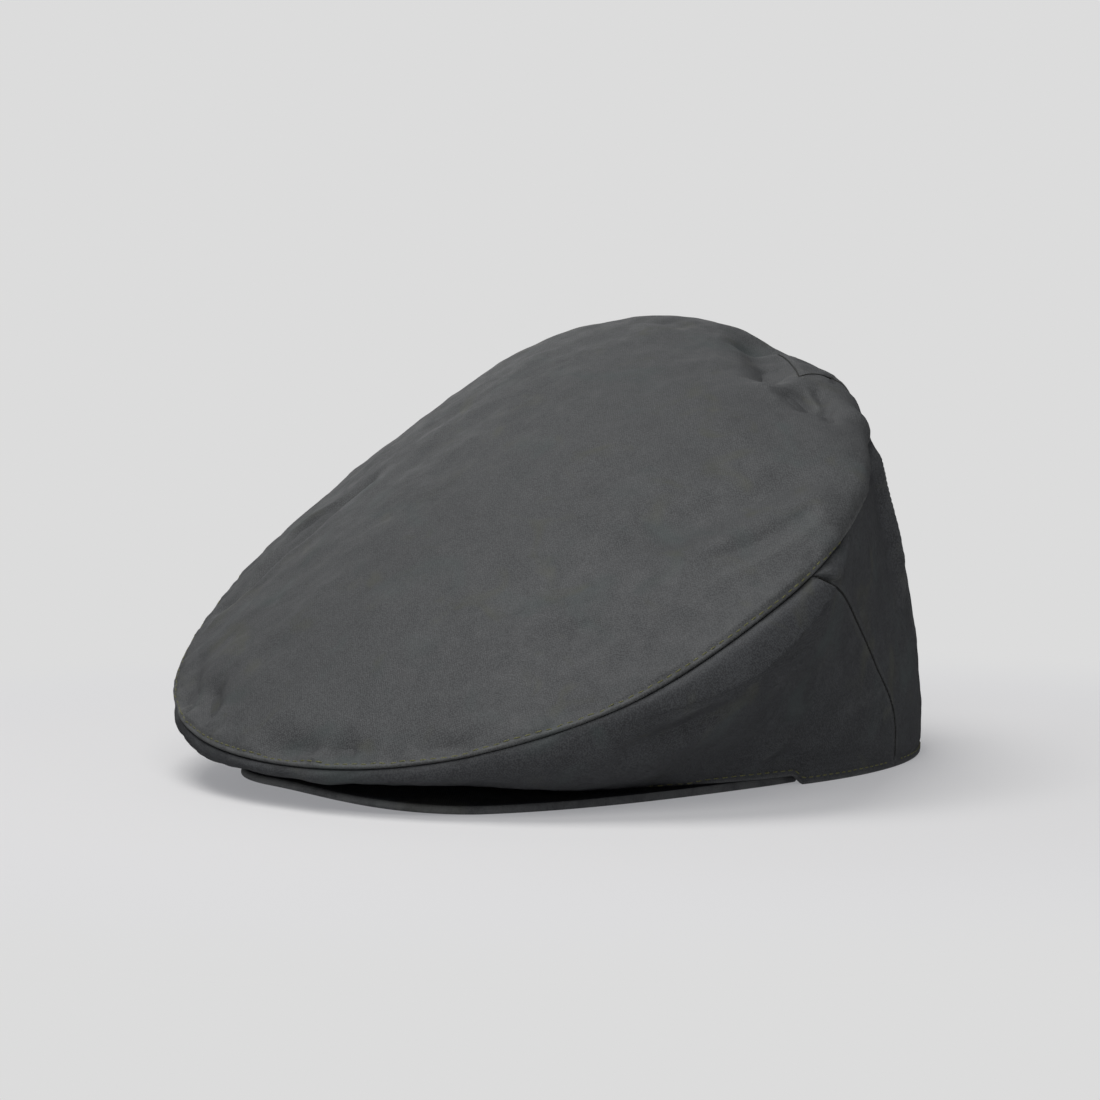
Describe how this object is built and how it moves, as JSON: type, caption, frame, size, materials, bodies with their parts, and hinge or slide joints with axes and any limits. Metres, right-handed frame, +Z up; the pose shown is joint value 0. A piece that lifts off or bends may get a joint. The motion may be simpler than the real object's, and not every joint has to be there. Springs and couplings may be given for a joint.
{
  "type": "flat cap",
  "caption": "Flat cap of waxed cotton: full top panel sewn to a side panel and back panels, open head hollow below, short stiff peak in front.",
  "frame": {"origin": "on the floor, below the middle of the cap's bounding box", "axes": "+Z up, -Y the front of the cap, +X the wearer's left"},
  "size_m": [0.2243, 0.2475, 0.1333],
  "materials": {
    "waxed_cotton_top": "waxed cotton, mottled satin sheen",
    "waxed_cotton_side": "waxed cotton, mottled satin sheen",
    "waxed_cotton_peak": "waxed cotton over a stiff board, dark"
  },
  "bodies": {
    "root": {"top_panel": "waxed_cotton_top", "side_panel": "waxed_cotton_side", "back_panel_left": "waxed_cotton_side", "back_panel_right": "waxed_cotton_side", "peak": "waxed_cotton_peak"}
  },
  "joints": []
}
